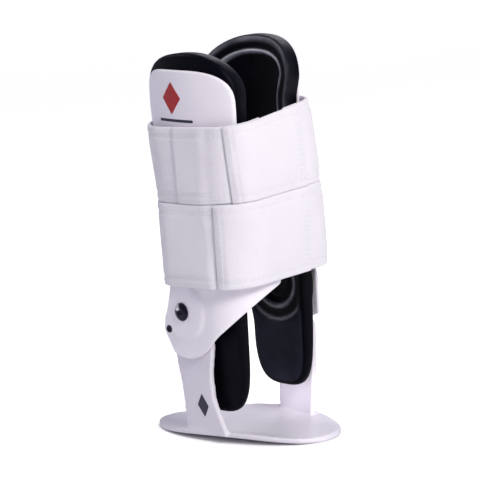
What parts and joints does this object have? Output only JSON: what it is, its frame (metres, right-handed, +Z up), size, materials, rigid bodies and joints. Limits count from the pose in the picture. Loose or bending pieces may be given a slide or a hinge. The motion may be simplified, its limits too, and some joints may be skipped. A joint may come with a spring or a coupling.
{
  "type": "ankle foot orthosis",
  "caption": "Hinged stirrup ankle brace: a foot plate with side arms, two padded shells pivoting at the ankle, and wrap straps with peel-open flaps.",
  "frame": {"origin": "on the floor under the foot plate, straight below the ankle hinge axis", "axes": "+X forward to the toes, +Y to the inner side of the leg, +Z up; the hinge axis is parallel to Y"},
  "size_m": [0.1293, 0.1029, 0.258],
  "materials": {
    "stirrup_plastic": "satin moulded polypropylene",
    "shell_plastic": "satin moulded polypropylene",
    "pad_foam": "moulded closed-cell foam with a soft gloss",
    "strap_fabric": "brushed loop fabric over thin foam",
    "hook_tape": "nylon hook tape",
    "rivet_metal": "dark oxide",
    "washer_steel": "plain",
    "bush_plastic": "natural acetal"
  },
  "bodies": {
    "foot": {"stirrup": "stirrup_plastic", "lateral_hinge_bush": "bush_plastic", "medial_hinge_bush": "bush_plastic"},
    "lateral_upright": {"lateral_shell": "shell_plastic", "lateral_pad": "pad_foam", "lateral_hinge_rivet": "rivet_metal", "lateral_rivet_washer": "washer_steel", "lateral_friction_disc": "bush_plastic", "lateral_stop_pin": "rivet_metal", "lateral_strap_anchor": "hook_tape", "lateral_pad_fasteners": "hook_tape", "upper_strap": "strap_fabric", "lower_strap": "strap_fabric"},
    "medial_upright": {"medial_shell": "shell_plastic", "medial_pad": "pad_foam", "medial_hinge_rivet": "rivet_metal", "medial_rivet_washer": "washer_steel", "medial_friction_disc": "bush_plastic", "medial_stop_pin": "rivet_metal", "medial_strap_anchor": "hook_tape", "medial_pad_fasteners": "hook_tape"},
    "upper_closure": {"upper_flap": "strap_fabric", "upper_hook_patch": "hook_tape"},
    "lower_closure": {"lower_flap": "strap_fabric", "lower_hook_patch": "hook_tape"}
  },
  "joints": [
    {"name": "ankle_hinge", "type": "hinge", "parent": "foot", "child": "lateral_upright", "pos_m": [0, -0.0406, 0.087], "axis": [0, 1, 0], "range_deg": [-50, 20]},
    {"name": "medial_ankle_hinge", "type": "hinge", "parent": "foot", "child": "medial_upright", "pos_m": [0, 0.0406, 0.087], "axis": [0, 1, 0], "range_deg": [-50, 20]},
    {"name": "upper_flap_peel", "type": "hinge", "parent": "lateral_upright", "child": "upper_closure", "pos_m": [0.04895, 0.019, 0.1878], "axis": [-0.1042, 0, 0.9946], "range_deg": [0, 95]},
    {"name": "lower_flap_peel", "type": "hinge", "parent": "lateral_upright", "child": "lower_closure", "pos_m": [0.0532, 0.019, 0.1332], "axis": [-0.0545, 0, 0.9985], "range_deg": [0, 95]}
  ],
  "couplings": [
    {"joint": "medial_ankle_hinge", "follows": "ankle_hinge", "ratio": 1}
  ]
}
